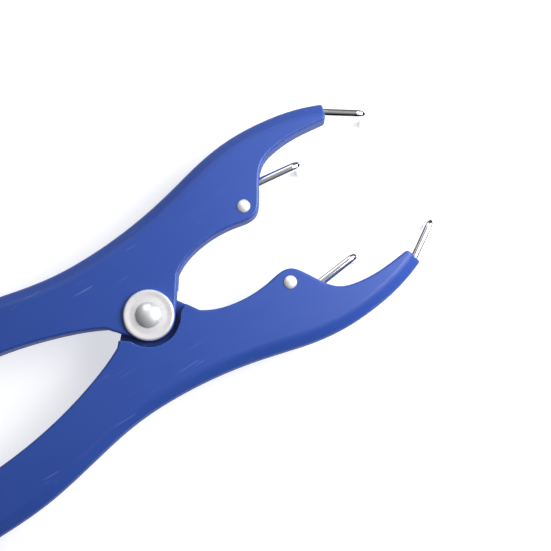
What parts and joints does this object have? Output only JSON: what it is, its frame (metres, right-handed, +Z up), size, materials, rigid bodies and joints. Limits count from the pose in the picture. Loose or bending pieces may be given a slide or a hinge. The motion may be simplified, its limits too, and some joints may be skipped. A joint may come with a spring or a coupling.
{
  "type": "reverse-action spreader pliers",
  "caption": "Hand pliers with two blue plastic levers on one pivot and wire prongs pointing down; squeezing the handles spreads a rubber neck or ring.",
  "frame": {"origin": "middle of the bounding box at the height of the prong tips, with the tool open as it is held in use", "axes": "+X from the handles to the jaws along the mid line, +Y towards the left lever, +Z up along the pivot, away from the prong tips"},
  "size_m": [0.2312, 0.0756, 0.0256],
  "materials": {
    "lever_plastic": "satin moulded plastic",
    "prong_steel": "bright plated wire",
    "washer_nickel": "satin nickel plate",
    "rivet_metal": "satin"
  },
  "bodies": {
    "right_side": {"right_lever": "lever_plastic", "right_front_prong": "prong_steel", "right_rear_prong": "prong_steel", "right_jaw_rivet": "rivet_metal", "right_burr_washer": "washer_nickel", "pivot_rivet": "rivet_metal", "top_pivot_washer": "washer_nickel", "bottom_pivot_washer": "washer_nickel"},
    "left_side": {"left_lever": "lever_plastic", "left_front_prong": "prong_steel", "left_rear_prong": "prong_steel", "left_jaw_rivet": "rivet_metal", "left_burr_washer": "washer_nickel"}
  },
  "joints": [
    {"name": "pivot", "type": "hinge", "parent": "right_side", "child": "left_side", "pos_m": [0.01545, 0, 0.017], "axis": [0, 0, 1], "range_deg": [-22.5, 14]}
  ]
}
